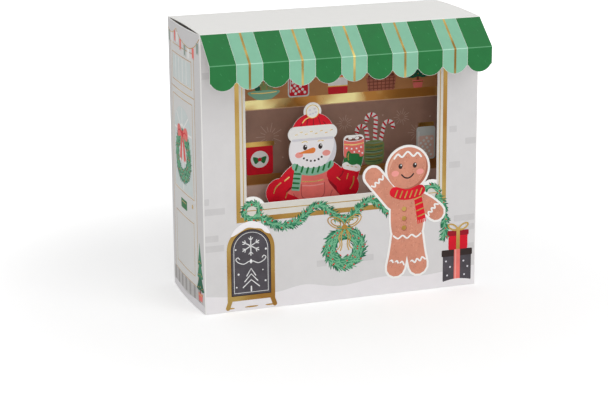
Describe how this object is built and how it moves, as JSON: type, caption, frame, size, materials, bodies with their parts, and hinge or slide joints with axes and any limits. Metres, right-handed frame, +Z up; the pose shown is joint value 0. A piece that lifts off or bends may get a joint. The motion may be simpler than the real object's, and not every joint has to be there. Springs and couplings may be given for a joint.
{
  "type": "pop-up greeting card",
  "caption": "Fold-flat paper greeting card that stands open as a small winter market stall, with a striped awning, a die-cut window, shelves and a snowman vendor inside.",
  "frame": {"origin": "on the surface that the card stands on, under the middle of the box round the whole card", "axes": "+Z up, the window and the awning face -Y, +X to the right of someone who looks at the front"},
  "size_m": [0.167, 0.083, 0.1592],
  "materials": {
    "wall_card": "satin printed board",
    "awning_card": "satin printed board",
    "shelf_card": "satin printed board",
    "vendor_card": "satin printed board"
  },
  "bodies": {
    "root": {"stall_walls": "wall_card", "roof_awning": "awning_card", "shelf_panel": "shelf_card", "vendor_panel": "vendor_card"}
  },
  "joints": []
}
